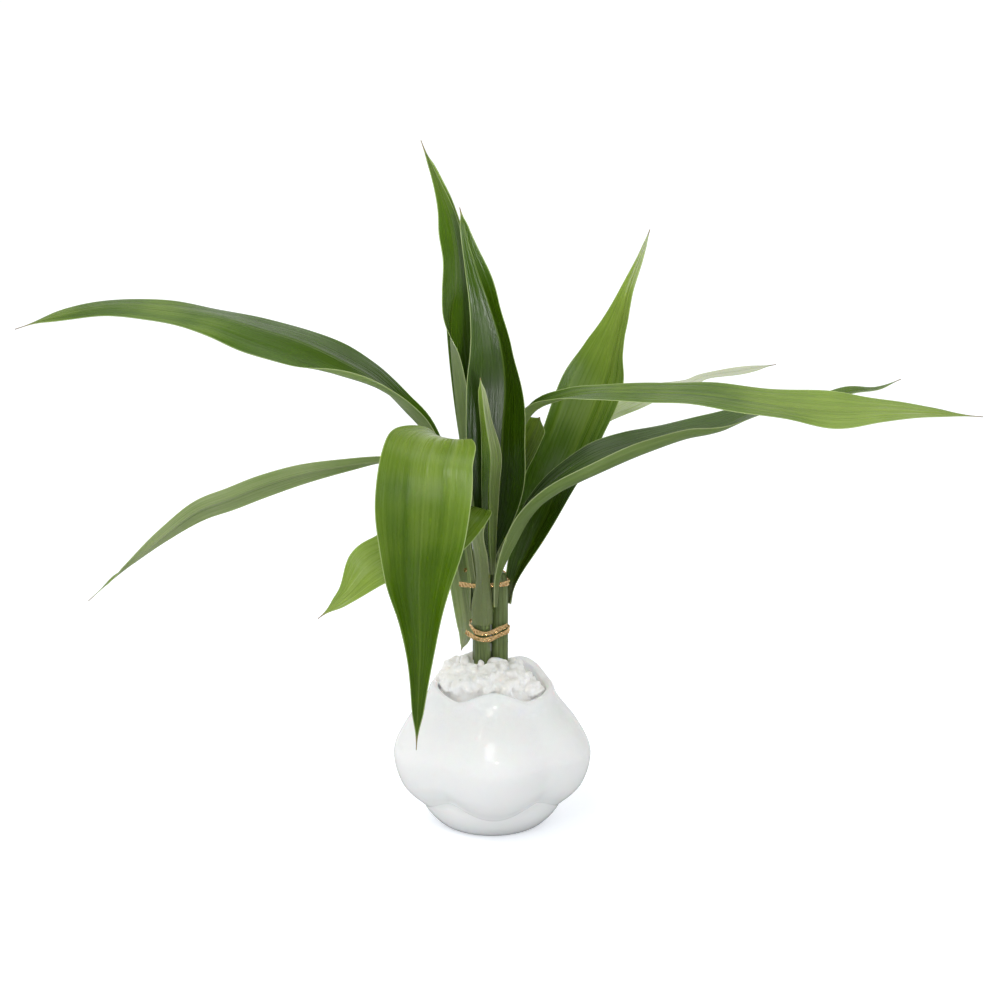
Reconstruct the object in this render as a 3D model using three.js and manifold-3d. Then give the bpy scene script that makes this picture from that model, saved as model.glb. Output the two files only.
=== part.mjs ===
import * as THREE from 'three';
import Module from 'manifold-3d';
import { mergeVertices } from 'three/addons/utils/BufferGeometryUtils.js';

// Lucky bamboo of three canes in a lobed white pot filled with crushed quartz.
// Millimetres, +Z up, the pot's foot on the ground at the origin, the viewer at -Y.

// The pot
const FRONT_LOBE = THREE.MathUtils.degToRad(-88);
// How high each lobe lifts the rim, from the front one round by the right
const LOBE_RISES = [6, 0, 5, 3, 1.6];
const FOOT_R = 23;
const SKIRT_R = 33.5;
const SKIRT_Z = 16;
const LOBE_LOW = 11;
const LOBE_HIGH = 17.5;
const LOBE_BULGE = 16.3;
const LOBE_SOFTNESS = 1.5;
const NOTCH_SHARE = 0.72;
const NECK_R = 30.5;
const RIM_Z = 65.4;
const RIM_TILT = 1.5;
const WALL = 3.8;
const FLOOR_Z = 8;
const LIP_R = NECK_R - 1.9;
const POT_SIDES = 60;
// The inside of the pot below the rim
const INNER = [[25.6, 58], [30.2, 48], [34.2, 37], [34, 27], [30, 18], [24.5, 11.5], [14, FLOOR_Z]];
const UNDERCUT_Z = 27;

// The stones
const BED_R = 36;
const BED_TOP = 60;
const MOUND_TOP = 80;
const MOUND_EDGE = 67.5;
const MOUND_R = 26.5;
const MOUND_STEEPNESS = 4;
const DIP_DEPTH = 10;
const MOUND_LEAN = 0.1;
const DIP_SIDE = THREE.MathUtils.degToRad(35);
const STONE_REACH = 23.5;
const STONE_COUNT = 84;
const STONE_R = 4.4;
// The least and the greatest of each way in which one stone differs from the next
const STONE_SIZES = [0.78, 1.28];
const CORNER_SIZES = [0.8, 1.15];
const STONE_DEPTHS = [0.8, 1.1];
const STONE_HEIGHTS = [0.72, 0.97];
const STONE_LIFTS = [-2.6, -1.1];
const BED_SUNK = 1.8;
const BED_RINGS = [22, 15, 8];
const STONE_GAP = 0.5;
const OVER_LIP = 1.3;
const GOLDEN_TURN = Math.PI * (3 - Math.sqrt(5));

// The canes
const CANE_R = 3.9;
const CANE_FOOT = 12;
const CANE_TAPER = 8;
const CANE_TOP_R = 2.9;
const HOLE_GAP = 0.35;
// Where each cane stands, x and y, and how high its top is
const CANES = {
  cane_front: [-4.3, -4.5, 108],
  cane_right: [3.6, -1, 120],
  cane_back: [-5, 4.8, 108],
};

// The leaves
const LEAF_THICK = 0.7;
const LEAF_STEPS = 22;
const HALF_STEPS = 2;
const TIP_WIDTH = 1.2;

// Every leaf: the way its upper face looks at the base, then stations from base to tip.
// A station: x, y, z of the midrib, full width, lift of the left and right half in
// degrees, and how much more each half turns up by its margin.
const LEAVES = {
  leaf_front_upright: { face: [-0.3, -1, 0], stations: [
    [0.2, 0.3, 120.5, 4, 60, 60, 0, 0],
    [0, 0, 131, 11, 45, 45, 0, 0],
    [2, 0, 145, 19, 25, 25, 0, 0],
    [4, 1, 164, 28, 25, 25, 0, 0],
    [5, 2, 186, 34, 30, 40, 0, 0],
    [6, 2, 207, 35, 30, 50, 0, 0],
    [4, 3, 225, 28, 25, 55, 0, 0],
    [-1, 2, 243, 18, 15, 45, 0, 0],
    [-7, -1, 261, 10, 0, 0, 0, 0],
    [-11, -3, 275, 5, 0, 0, 0, 0],
    [-14, -4, 288, 1, 0, 0, 0, 0],
  ] },
  leaf_left_upright: { face: [0.9, -0.5, 0], stations: [
    [-7.5, 4.8, 108.4, 4, 60, 60, 0, 0],
    [-9, 11, 142, 11, 75, 60, 0, 0],
    [-13, 12, 170, 18, 65, 60, 0, 0],
    [-16, 11, 198, 22, 65, 55, 0, 0],
    [-18, 9, 222, 25, 45, 30, 0, 0],
    [-18, 7, 238, 24, 15, 20, 0, 0],
    [-16, 5, 251, 22, -5, 5, 0, 0],
    [-16, 4, 265, 17, -15, 5, 0, 0],
    [-18, 3, 278, 14, -25, 0, 0, 0],
    [-21, 2, 289, 9, -15, 5, 0, 0],
    [-26, 1, 303, 4, 0, 0, 0, 0],
    [-31, 0, 317, 1, 0, 0, 0, 0],
  ] },
  leaf_back_upright: { face: [-0.2, -1, 0], stations: [
    [-3, 7, 108.4, 4, 60, 60, 0, 0],
    [-4, 15, 135, 9, 20, 20, 0, 0],
    [-5, 20, 160, 14, 20, 20, 0, 0],
    [-9, 21, 201, 18, 25, 25, 0, 0],
    [-13, 20, 238, 16, 20, 20, 0, 0],
    [-16, 18, 265, 12, 15, 15, 0, 0],
    [-20, 15, 286, 7, 10, 10, 0, 0],
    [-24, 13, 299, 3, 10, 10, 0, 0],
    [-29, 12, 310, 1, 0, 0, 0, 0],
  ] },
  leaf_young: { face: [0.1, 1, 0], stations: [
    [0.3, -6.6, 120.5, 3, 40, 40, 0, 0],
    [-1, -9.5, 137, 9, 55, 55, 0, 0],
    [-1, -11, 161, 13, 55, 55, 0, 0],
    [-0.5, -12, 177, 13, 50, 50, 0, 0],
    [-3, -12, 195, 7, 50, 50, 0, 0],
    [-5, -12, 213, 1, 0, 0, 0, 0],
  ] },
  leaf_front_drooping: { face: [0.5, 0.85, 0], stations: [
    [-5.2, -1.5, 108.4, 4, 60, 60, 0, 0],
    [-8, 3, 135, 6, 50, 50, 0, 0],
    [-12.5, 2.5, 158, 7, 50, 50, 0, 0],
    [-18, -5, 177, 13, 50, 50, 0, 0],
    [-21, -18, 187, 24, 20, 20, 0, 0],
    [-25, -35, 189, 37, 8, 8, 0, 0],
    [-28, -51, 183, 40, 10, 10, 0, 0],
    [-29, -59, 169, 42, 20, 10, 0, 0],
    [-30, -63, 152, 40, 30, 25, 0, 0],
    [-31, -66, 135, 33, 45, 40, 0, 0],
    [-31, -68, 117, 21, 40, 45, 0, 0],
    [-31, -68, 99, 12, 35, 40, 0, 0],
    [-32, -67, 78, 6, 30, 35, 0, 0],
    [-33, -65, 57, 1, 0, 0, 0, 0],
  ] },
  leaf_low_front: { face: [0.5, 0.85, 0], stations: [
    [-4.4, -9.35, 97.2, 12, 43, -17, 72, 72],
    [-4.4, -9.5, 107, 12, 43, -17, 72, 72],
    [-4.3, -9.8, 117, 8, 45, 0, 55, 55],
    [-5.3, -10.6, 129, 7, 35, 15, 30, 30],
    [-7.2, -11.6, 141, 7, 25, 20, 0, 0],
    [-8.3, -13, 153, 16, 5, 5, 0, 0],
    [-14, -24, 156, 30, -10, 10, 0, 0],
    [-25, -38, 148, 29, -25, 10, 0, 0],
    [-40, -50, 142, 32, -20, 10, 0, 0],
    [-52, -58, 137, 28, 5, 15, 0, 0],
    [-63, -64, 127, 12, 5, 0, 0, 0],
    [-75, -68, 118, 1, 0, 0, 0, 0],
  ] },
  leaf_upper_left: { face: [0.9, -0.1, 0.3], stations: [
    [-7.8, -2.8, 108.4, 4, 60, 60, 0, 0],
    [-13, 0, 140, 6, 60, 60, 0, 0],
    [-19, 1, 160, 8, 60, 60, 0, 0],
    [-29, 2, 183, 12, 55, 55, 0, 0],
    [-39, -1, 196, 20, 35, 20, 30, 0],
    [-52, -5, 210, 32, 0, 5, 70, 0],
    [-68, -7, 220, 38, -25, 0, 100, 0],
    [-85, -7, 228, 36, -30, 0, 40, 0],
    [-104, -6, 234, 33, -25, -5, 0, 0],
    [-123, -4, 239, 27, -20, -5, 0, 0],
    [-148, -2, 242, 20, -12, 5, 0, 0],
    [-170, 0, 243, 15, -15, 5, 0, 0],
    [-193, 2, 239, 9, -20, 10, 0, 0],
    [-214, 4, 232, 1, 0, 0, 0, 0],
  ] },
  leaf_lower_left: { face: [0.9, -0.4, 0.3], stations: [
    [-5.7, 10.25, 103.5, 4, 60, 60, 0, 0],
    [-9, 22, 133, 6, 60, 60, 0, 0],
    [-19, 31, 151, 7, 60, 60, 0, 0],
    [-35, 39, 161, 6, 75, 30, 0, 0],
    [-51, 47, 161, 5, 95, -10, 0, 0],
    [-70, 55, 157, 7, 110, -55, 0, 0],
    [-92, 62, 151, 11, 118, -62, 0, 0],
    [-111, 67, 144, 13, 120, -60, 0, 0],
    [-127, 70, 137, 13, 120, -60, 0, 0],
    [-143, 73, 130, 12, 115, -55, 0, 0],
    [-160, 75, 117, 8, 95, -35, 0, 0],
    [-176, 76, 103, 5, 40, 0, 0, 0],
    [-186, 76, 95, 6, -20, 30, 0, 0],
    [-198, 76, 84, 1, 0, 0, 0, 0],
  ] },
  leaf_upper_right: { face: [-0.7, -0.9, 0.2], stations: [
    [8.5, 2.8, 104, 4, 60, 60, 0, 0],
    [11.4, 5.2, 117, 6, 40, 45, 0, 0],
    [24.4, 11.2, 143, 28.5, 33, 35, 0, 0],
    [32, 20, 159, 33, 25, 30, 0, 0],
    [39, 26, 173, 36, 20, 25, 0, 0],
    [51, 36, 200, 39, 15, 30, 0, 0],
    [56, 40, 216, 30, 5, 38, 0, 0],
    [59, 42, 227, 20, 0, 38, 0, 0],
    [63, 44, 243, 9, -5, 25, 0, 0],
    [69, 46, 259, 3, 0, 0, 0, 0],
    [73, 47, 271, 1, 0, 0, 0, 0],
  ] },
  leaf_right_high: { face: [-0.8, 0.3, 0.2], stations: [
    [5, 1.5, 120.5, 4, 60, 60, 0, 0],
    [6, 6, 142, 6, 60, 60, 0, 0],
    [8, 7, 165, 8, 60, 60, 0, 0],
    [17, 3, 192, 10, 50, 50, 0, 0],
    [31, -6, 202, 13, 25, 25, 0, 0],
    [48, -16, 207, 16, 5, 0, 0, 0],
    [70, -26, 209, 20, 5, 0, 0, 0],
    [90, -34, 210, 23, 5, 0, 0, 0],
    [108, -40, 209, 25, 5, 0, 0, 0],
    [129, -46, 207, 27, 10, 0, 0, 0],
    [150, -51, 206, 27, 15, -8, 0, 0],
    [169, -55, 207, 20, 5, -5, 0, 0],
    [188, -59, 207, 10, 5, 5, 0, 0],
    [210, -62, 206, 1, 0, 0, 0, 0],
  ] },
  leaf_right_low: { face: [-0.9, -0.1, 0.3], stations: [
    [2.3, -7, 105.5, 3, 60, 60, 0, 0],
    [4, -8.6, 121, 6, 60, 60, 0, 0],
    [11, -10, 137, 15, 20, 50, 0, 20],
    [19, -11, 151, 23, 15, 20, 0, 70],
    [32, -10, 163, 31, 15, -5, 0, 120],
    [49, -8, 172, 34, 25, -15, 0, 135],
    [67, -3, 178, 33, 20, -10, 0, 130],
    [85, 3, 183, 29, 15, -10, 0, 110],
    [102, 7, 186, 24, 20, -10, 0, 70],
    [122, 12, 193, 18, 10, 5, 0, 0],
    [146, 17, 196, 12, 5, 5, 0, 0],
    [164, 21, 200, 9, 20, 0, 0, 0],
    [177, 23, 201, 5, 5, 0, 0, 0],
    [188, 25, 205, 1, 0, 0, 0, 0],
  ] },
  leaf_back_right: { face: [-0.4, -0.6, 0.3], stations: [
    [-1.2, 9, 108.4, 4, 60, 60, 0, 0],
    [4, 24, 138, 7, 50, 50, 0, 0],
    [20, 42, 160, 12, 30, 30, 0, 0],
    [42, 58, 174, 20, 15, 20, 0, 0],
    [64, 74, 184, 24, -5, 10, 0, 0],
    [81, 84, 188, 16, -5, 5, 0, 0],
    [96, 92, 190, 9, -10, 5, 0, 0],
    [104, 97, 192, 6, 0, 5, 0, 0],
    [122, 106, 193, 7, 5, 0, 0, 0],
    [140, 112, 195, 1, 0, 0, 0, 0],
  ] },
  leaf_back_hanging: { face: [0.9, -0.3, 0.3], stations: [
    [-9.8, 6, 99.5, 5, 5, 5, 40, 40],
    [-10.8, 8, 117, 7, 40, 40, 0, 0],
    [-12.5, 11, 131, 8, 20, 20, 0, 0],
    [-15.5, 13.5, 134, 9, 15, 15, 0, 0],
    [-16.4, 15, 125, 10, 15, 15, 0, 0],
    [-14, 15.5, 107, 10, 15, 15, 0, 0],
    [-12, 15.5, 92, 9, 15, 15, 0, 0],
    [-12.2, 14.5, 85, 6, 10, 10, 0, 0],
    [-14.4, 14, 78, 1, 0, 0, 0, 0],
  ] },
  leaf_torn: { face: [-0.5, -0.9, 0.1], stations: [
    [0.5, 5.8, 108.4, 4, 60, 60, 0, 0],
    [3.6, 15.5, 135, 6, 35, 35, 0, 0],
    [10.5, 18.5, 160, 11, 25, 25, 0, 0],
    [16.5, 16.5, 176, 14, 20, 20, 0, 0],
    [22, 12, 190, 12, 10, 10, 0, 0],
  ] },
};

// The ties: centre line of a flat band that stands upright
const BAND_WIDTH = 2.3;
const BAND_THICK = 0.6;
const BAND_STEPS = 60;
const TIES = {
  tie_lower: [
    [-12, -4.6, 93], [-10.1, -6.5, 92], [-8, -8.4, 91.3], [-4.3, -9.6, 90.5], [-0.3, -8.8, 90.7],
    [3.6, -6.2, 91.7], [6.9, -4.3, 92.7], [8.3, -1, 93.3], [7, 2.4, 93.7], [2, 7.4, 93.9],
    [-3, 9.9, 94.1], [-8.5, 8.6, 94.5], [-10.2, 3, 95.1], [-9.4, -4, 95.1], [-7.2, -8.4, 94],
    [-3, -9.6, 93.4], [1, -8, 94], [4.6, -6.3, 95.2], [7.4, -4.6, 96.2],
  ],
  tie_upper: [
    [-15, -0.8, 114.6], [-12.3, -2.8, 114.7], [-9.6, -4.3, 114.8], [-6.8, -5.8, 114.8],
    [-4, -6.6, 114.9], [-1.6, -5.6, 115.1], [1, -5, 115.4], [4.2, -5.4, 115.6], [7.3, -3.6, 115.7],
    [8.3, -0.6, 115.7], [7.3, 2.6, 115.7], [6.6, 7.5, 115.7], [6, 13, 115.9], [-0.5, 17.8, 116.2],
    [-8, 17.6, 116.5], [-13, 15.5, 116.6],
  ],
};

const wasm = await Module();
wasm.setup();
const { Manifold, Mesh } = wasm;

function randomFrom(seed) {
  let state = seed;
  return () => {
    state = (state * 1664525 + 1013904223) % 4294967296;
    return state / 4294967296;
  };
}

function solidOf(geometry) {
  geometry.deleteAttribute('normal');
  geometry.deleteAttribute('uv');
  const welded = mergeVertices(geometry, 1e-4);
  return new Manifold(new Mesh({
    numProp: 3,
    vertProperties: new Float32Array(welded.attributes.position.array),
    triVerts: new Uint32Array(welded.index.array),
  }));
}

function geometryOf(solid) {
  const mesh = solid.getMesh();
  const geometry = new THREE.BufferGeometry();
  geometry.setAttribute('position', new THREE.BufferAttribute(new Float32Array(mesh.vertProperties), 3));
  geometry.setIndex(new THREE.BufferAttribute(new Uint32Array(mesh.triVerts), 1));
  return geometry;
}

// A closed skin from rings of points: the first and last ring are closed by a fan.
function skin(rings) {
  const count = rings[0].length;
  const points = rings.flat();
  const faces = [];
  for (let r = 0; r < rings.length - 1; r += 1) {
    for (let i = 0; i < count; i += 1) {
      const j = (i + 1) % count;
      const a = r * count;
      const b = a + count;
      faces.push(a + i, a + j, b + i, a + j, b + j, b + i);
    }
  }
  const centre = (ring) => ring.reduce((sum, p) => sum.add(p), new THREE.Vector3()).divideScalar(count);
  const first = points.push(centre(rings[0])) - 1;
  const last = points.push(centre(rings.at(-1))) - 1;
  const top = (rings.length - 1) * count;
  for (let i = 0; i < count; i += 1) {
    const j = (i + 1) % count;
    faces.push(first, j, i, last, top + i, top + j);
  }
  const geometry = new THREE.BufferGeometry().setFromPoints(points);
  geometry.setIndex(faces);
  geometry.computeVertexNormals();
  return geometry;
}

// Value of evenly spread stations at t from 0 to 1, smooth through each of them.
function between(stations, t) {
  const span = Math.min(Math.max(t, 0), 1) * (stations.length - 1);
  const i = Math.min(Math.floor(span), stations.length - 2);
  const f = span - i;
  return stations[i].map((_, k) => {
    const p1 = stations[i][k];
    const p2 = stations[i + 1][k];
    const p0 = i > 0 ? stations[i - 1][k] : 2 * p1 - p2;
    const p3 = i < stations.length - 2 ? stations[i + 2][k] : 2 * p2 - p1;
    const square = (2 * p0 - 5 * p1 + 4 * p2 - p3) * f * f;
    const cube = (3 * p1 - p0 - 3 * p2 + p3) * f * f * f;
    return 0.5 * (2 * p1 + (p2 - p0) * f + square + cube);
  });
}

// The frames along a midrib at equal steps of length, the face carried without twist.
function framesAlong(stations, face, steps) {
  const fine = 400;
  const walk = [];
  const up = new THREE.Vector3(...face);
  let length = 0;
  for (let k = 0; k <= fine; k += 1) {
    const t = k / fine;
    const at = new THREE.Vector3(...between(stations, t));
    const along = new THREE.Vector3(...between(stations, t + 0.002));
    along.sub(new THREE.Vector3(...between(stations, t - 0.002))).normalize();
    up.addScaledVector(along, -up.dot(along)).normalize();
    if (k > 0) {
      length += at.distanceTo(walk[k - 1].at);
    }
    walk.push({ t, at, along, up: up.clone(), length });
  }
  const frames = [];
  for (let s = 0; s <= steps; s += 1) {
    const goal = (s / steps) * length;
    frames.push(walk.find((w) => w.length >= goal - 1e-6) ?? walk.at(-1));
  }
  return frames;
}

// The middle surface of a blade: rows of points from the left margin to the right one.
function bladeRows(leaf) {
  return framesAlong(leaf.stations, leaf.face, LEAF_STEPS).map(({ t, at, along, up }) => {
    const [, , , width, liftLeft, liftRight, turnLeft, turnRight] = between(leaf.stations, t);
    const right = new THREE.Vector3().crossVectors(along, up);
    const stride = Math.max(width, TIP_WIDTH) / 2 / HALF_STEPS;
    const half = (side, lift, turn) => {
      const point = at.clone();
      const points = [];
      for (let k = 0; k < HALF_STEPS; k += 1) {
        const angle = THREE.MathUtils.degToRad(lift + turn * ((k + 0.5) / HALF_STEPS) ** 2);
        point.addScaledVector(right, side * stride * Math.cos(angle));
        point.addScaledVector(up, stride * Math.sin(angle));
        points.push(point.clone());
      }
      return points;
    };
    return [...half(-1, liftLeft, turnLeft).reverse(), at.clone(), ...half(1, liftRight, turnRight)];
  });
}

// A thin plate around rows of points, both faces split alike.
function plate(rows, thick) {
  const last = rows.length - 1;
  const wide = rows[0].length - 1;
  const offset = (r, c, sign) => {
    const across = rows[r][Math.min(c + 1, wide)].clone().sub(rows[r][Math.max(c - 1, 0)]);
    const along = rows[Math.min(r + 1, last)][c].clone().sub(rows[Math.max(r - 1, 0)][c]);
    const normal = across.cross(along).normalize();
    return rows[r][c].clone().addScaledVector(normal, (sign * thick) / 2);
  };
  const rings = rows.map((row, r) => {
    const upper = row.map((_, c) => offset(r, c, 1));
    const lower = row.map((_, c) => offset(r, c, -1));
    return [...upper, ...lower.reverse()];
  });
  const count = rings[0].length;
  const faces = [];
  const side = wide + 1;
  for (let r = 0; r < last; r += 1) {
    const a = r * count;
    const b = a + count;
    for (let i = 0; i < count; i += 1) {
      const j = (i + 1) % count;
      if (i < wide || i === wide || i === count - 1) {
        faces.push(a + i, a + j, b + i, a + j, b + j, b + i);
      } else {
        faces.push(a + i, a + j, b + j, a + i, b + j, b + i);
      }
    }
  }
  const end = last * count;
  for (let c = 0; c < wide; c += 1) {
    const mirror = count - 1 - c;
    faces.push(c, mirror, c + 1, c + 1, mirror, mirror - 1);
    faces.push(end + c, end + c + 1, end + mirror, end + c + 1, end + mirror - 1, end + mirror);
  }
  const geometry = new THREE.BufferGeometry().setFromPoints(rings.flat());
  geometry.setIndex(faces);
  geometry.computeVertexNormals();
  return geometry;
}

// How far a direction is on a lobe: 1 on its crown, 0 in the notch between two.
function lobeAt(angle) {
  return Math.abs(Math.cos((LOBE_RISES.length / 2) * (angle - FRONT_LOBE))) ** LOBE_SOFTNESS;
}

function rimHeight(lobe, angle) {
  const turn = ((angle - FRONT_LOBE) / (2 * Math.PI) + 1) * LOBE_RISES.length;
  return RIM_Z + LOBE_RISES[Math.round(turn) % LOBE_RISES.length] * lobe + RIM_TILT * Math.sin(angle);
}

// Points round the pot's axis whose radius and height may follow the lobes.
function ring(radiusOf, heightOf) {
  const points = [];
  for (let i = 0; i < POT_SIDES; i += 1) {
    const angle = (i / POT_SIDES) * 2 * Math.PI;
    const lobe = lobeAt(angle);
    const radius = radiusOf(lobe, angle);
    points.push(new THREE.Vector3(
      radius * Math.cos(angle), radius * Math.sin(angle), heightOf(lobe, angle)));
  }
  return points;
}

function potGeometry() {
  const lowEdge = (lobe) => LOBE_HIGH - (LOBE_HIGH - LOBE_LOW) * lobe;
  const skirt = (z) => FOOT_R + (SKIRT_R - FOOT_R) * (1 - (1 - z / SKIRT_Z) ** 2);
  const rings = [];
  rings.push(ring(() => FOOT_R - 5, () => 0));
  rings.push(ring(() => FOOT_R - 1, () => 0));
  [0.12, 0.55, 0.9].forEach((share) => {
    rings.push(ring((lobe) => skirt(lowEdge(lobe) * share), (lobe) => lowEdge(lobe) * share));
  });
  const outer = [
    [0, 0], [0.012, 0.06], [0.045, 0.2], [0.1, 0.43], [0.18, 0.68], [0.27, 0.85], [0.36, 0.96],
    [0.45, 0.99], [0.53, 0.92], [0.61, 0.77], [0.69, 0.59], [0.77, 0.34], [0.85, 0.1], [0.92, -0.05],
    [0.975, -0.12],
  ];
  outer.forEach(([share, bulge]) => {
    const lift = (lobe, angle) => lowEdge(lobe) + (rimHeight(lobe, angle) - lowEdge(lobe)) * share;
    const radius = (lobe) => {
      const start = skirt(lowEdge(lobe));
      const base = start + (NECK_R - start) * Math.min(1, share * 3);
      return base + LOBE_BULGE * bulge * (NOTCH_SHARE + (1 - NOTCH_SHARE) * lobe);
    };
    rings.push(ring(radius, lift));
  });
  [[0.6, 0.4], [1.9, 0.6], [3.2, -0.1], [WALL, -1.4]].forEach(([inward, rise]) => {
    rings.push(ring(() => LIP_R - inward, (lobe, angle) => rimHeight(lobe, angle) + rise));
  });
  INNER.forEach(([radius, z]) => rings.push(ring(() => radius, () => z)));
  return skin(rings);
}

function caneAt([x, y], geometry) {
  geometry.rotateX(Math.PI / 2);
  geometry.translate(x, y, 0);
  return geometry;
}

function caneGeometry(place) {
  const top = place[2];
  const profile = [
    [0, CANE_FOOT], [CANE_R - 0.4, CANE_FOOT], [CANE_R, CANE_FOOT + 0.6], [CANE_R, top - CANE_TAPER],
    [CANE_R - 0.35, top - CANE_TAPER + 3], [CANE_TOP_R, top - 0.6], [CANE_TOP_R - 0.6, top], [0, top],
  ].map(([r, z]) => new THREE.Vector2(r, z));
  return caneAt(place, new THREE.LatheGeometry(profile, 24));
}

// How high the heap lies: flat round the canes, steep by the rim, lower at one side and behind.
function moundHeight(x, y) {
  const towardsDip = x * Math.cos(DIP_SIDE) + y * Math.sin(DIP_SIDE);
  const dip = DIP_DEPTH * THREE.MathUtils.smoothstep(towardsDip, 4, 20);
  const fall = (MOUND_TOP - MOUND_EDGE) * (Math.hypot(x, y) / MOUND_R) ** MOUND_STEEPNESS;
  return MOUND_TOP - fall - dip - MOUND_LEAN * y;
}

function stoneGeometry(random) {
  const pick = (range) => THREE.MathUtils.lerp(...range, random());
  const stone = new THREE.IcosahedronGeometry(STONE_R * pick(STONE_SIZES), 0);
  stone.deleteAttribute('normal');
  stone.deleteAttribute('uv');
  const rough = mergeVertices(stone, 1e-4);
  const corners = rough.attributes.position;
  for (let v = 0; v < corners.count; v += 1) {
    const push = pick(CORNER_SIZES);
    corners.setXYZ(v, corners.getX(v) * push, corners.getY(v) * push, corners.getZ(v) * push);
  }
  rough.scale(1, pick(STONE_DEPTHS), pick(STONE_HEIGHTS));
  rough.rotateX(random() * Math.PI);
  rough.rotateZ(random() * 2 * Math.PI);
  return rough;
}

// The room that the stones have: the pot's inside, then out over the inner edge of the lip.
function stoneRoom() {
  const wallR = LIP_R - WALL - STONE_GAP;
  const overLip = wallR + OVER_LIP;
  const rings = INNER.toReversed().map(([radius, z]) => (
    ring(() => radius - STONE_GAP, () => z + (z < UNDERCUT_Z ? STONE_GAP : 0))));
  rings.push(ring(() => wallR, (lobe, angle) => rimHeight(lobe, angle) - 1.7));
  rings.push(ring(() => overLip, (lobe, angle) => rimHeight(lobe, angle) + 1));
  rings.push(ring(() => overLip, () => MOUND_TOP + STONE_R * 2));
  return solidOf(skin(rings));
}

function stonesGeometry() {
  const random = randomFrom(7);
  const bed = [ring(() => BED_R, () => FLOOR_Z), ring(() => BED_R, () => BED_TOP)];
  BED_RINGS.forEach((radius) => {
    const height = (lobe, angle) => moundHeight(radius * Math.cos(angle), radius * Math.sin(angle));
    bed.push(ring(() => radius, (lobe, angle) => height(lobe, angle) - BED_SUNK));
  });
  const pieces = [solidOf(skin(bed))];
  for (let k = 0; k < STONE_COUNT; k += 1) {
    const reach = STONE_REACH * Math.sqrt((k + 0.5) / STONE_COUNT);
    const angle = k * GOLDEN_TURN + random() * 0.5;
    const x = reach * Math.cos(angle);
    const y = reach * Math.sin(angle);
    const stone = stoneGeometry(random);
    stone.translate(x, y, moundHeight(x, y) + THREE.MathUtils.lerp(...STONE_LIFTS, random()));
    pieces.push(solidOf(stone));
  }
  const holes = Object.values(CANES).map((place) => {
    const hole = new THREE.CylinderGeometry(CANE_R + HOLE_GAP, CANE_R + HOLE_GAP, 100, 24);
    hole.translate(0, CANE_FOOT - HOLE_GAP + 50, 0);
    return solidOf(caneAt(place, hole));
  });
  return geometryOf(Manifold.union(pieces).intersect(stoneRoom()).subtract(Manifold.union(holes)));
}

const finishes = {
  glaze: { color: 0xf3f5f6, roughness: 0.12, metalness: 0 },
  quartz: { color: 0xefece4, roughness: 0.45, metalness: 0 },
  cane: { color: 0x6b7d4c, roughness: 0.45, metalness: 0 },
  leaf: { color: 0x4a7a24, roughness: 0.35, metalness: 0 },
  gilt: { color: 0xd0a24a, roughness: 0.3, metalness: 1 },
};

const group = new THREE.Group();
group.name = 'lucky_bamboo';

function addPiece(name, geometry, finish) {
  geometry.computeVertexNormals();
  const mesh = new THREE.Mesh(geometry, new THREE.MeshStandardMaterial(finishes[finish]));
  mesh.material.name = finish;
  mesh.name = name;
  group.add(mesh);
}

addPiece('pot', potGeometry(), 'glaze');
addPiece('stones', stonesGeometry(), 'quartz');
Object.entries(CANES).forEach(([name, place]) => addPiece(name, caneGeometry(place), 'cane'));
Object.entries(LEAVES).forEach(([name, leaf]) => addPiece(name, plate(bladeRows(leaf), LEAF_THICK), 'leaf'));
Object.entries(TIES).forEach(([name, path]) => {
  const rows = framesAlong(path, [0, 0, 1], BAND_STEPS).map(({ at, along }) => {
    const upright = new THREE.Vector3(0, 0, 1).addScaledVector(along, -along.z);
    upright.normalize().multiplyScalar(BAND_WIDTH / 2);
    return [at.clone().sub(upright), at.clone().add(upright)];
  });
  addPiece(name, plate(rows, BAND_THICK), 'gilt');
});

export default group;
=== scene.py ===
import math
import random

import bmesh
import bpy
from mathutils import Euler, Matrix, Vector


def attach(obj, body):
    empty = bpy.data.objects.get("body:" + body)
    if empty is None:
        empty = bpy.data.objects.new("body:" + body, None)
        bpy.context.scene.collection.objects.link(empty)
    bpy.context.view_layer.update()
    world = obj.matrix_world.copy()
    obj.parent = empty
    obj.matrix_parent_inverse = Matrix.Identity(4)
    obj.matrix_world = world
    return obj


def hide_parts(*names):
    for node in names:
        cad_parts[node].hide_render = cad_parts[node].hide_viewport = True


# Lucky bamboo of three canes, standing in crushed quartz in a lobed white pot.
# The plant's sizes are in millimetres; the camera, the lights and the table are in metres.

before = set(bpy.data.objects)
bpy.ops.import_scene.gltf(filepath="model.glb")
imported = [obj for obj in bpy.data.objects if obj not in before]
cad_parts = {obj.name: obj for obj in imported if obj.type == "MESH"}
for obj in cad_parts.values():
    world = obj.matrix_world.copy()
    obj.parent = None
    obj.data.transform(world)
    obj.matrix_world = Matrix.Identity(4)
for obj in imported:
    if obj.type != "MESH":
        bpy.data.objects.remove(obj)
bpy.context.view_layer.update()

MM = 0.001
# An edge sharper than this stays a hard line
SHARP = math.radians(50)
LEAF_SHARP = math.radians(55)

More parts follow.
